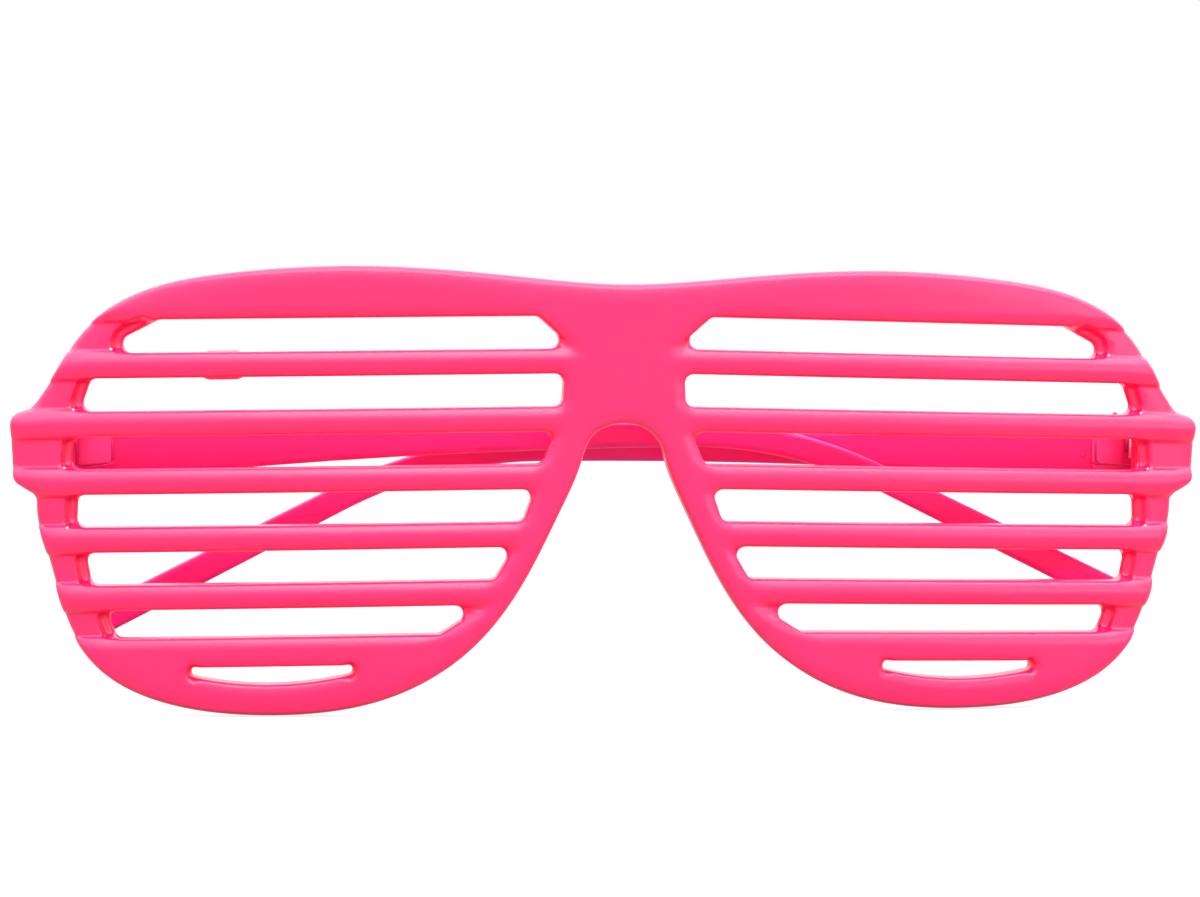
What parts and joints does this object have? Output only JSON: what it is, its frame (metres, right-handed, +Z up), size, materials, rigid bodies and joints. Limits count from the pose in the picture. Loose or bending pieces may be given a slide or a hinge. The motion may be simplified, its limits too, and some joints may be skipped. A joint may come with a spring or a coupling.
{
  "type": "slatted novelty glasses",
  "caption": "Toy glasses with a wrapped front of horizontal slats in place of lenses and two hinged, folding temples.",
  "frame": {"origin": "top of the nose arch, in the middle, on the crest of the front", "axes": "+X across the face to the viewer's right, +Y from the front back to the wearer, +Z up as worn"},
  "size_m": [0.1486, 0.0178, 0.0548],
  "materials": {
    "pink_plastic": "glossy hot pink moulded plastic",
    "plated_steel": "bright nickel plate",
    "screw_steel": "plain turned steel"
  },
  "bodies": {
    "front": {"front_frame": "pink_plastic", "left_front_hinge_leaf": "plated_steel", "right_front_hinge_leaf": "plated_steel", "left_hinge_screw": "screw_steel", "right_hinge_screw": "screw_steel"},
    "left_arm": {"left_temple": "pink_plastic", "left_temple_hinge_leaf": "plated_steel"},
    "right_arm": {"right_temple": "pink_plastic", "right_temple_hinge_leaf": "plated_steel"}
  },
  "joints": [
    {"name": "left_temple_fold", "type": "hinge", "parent": "front", "child": "left_arm", "pos_m": [-0.0703, 0.01058, -0.004], "axis": [-0.0131, 0, 0.9999], "range_deg": [0, 91.4]},
    {"name": "right_temple_fold", "type": "hinge", "parent": "front", "child": "right_arm", "pos_m": [0.0703, 0.01058, -0.004], "axis": [0.0131, 0, -0.9999], "range_deg": [0, 88.7]}
  ]
}
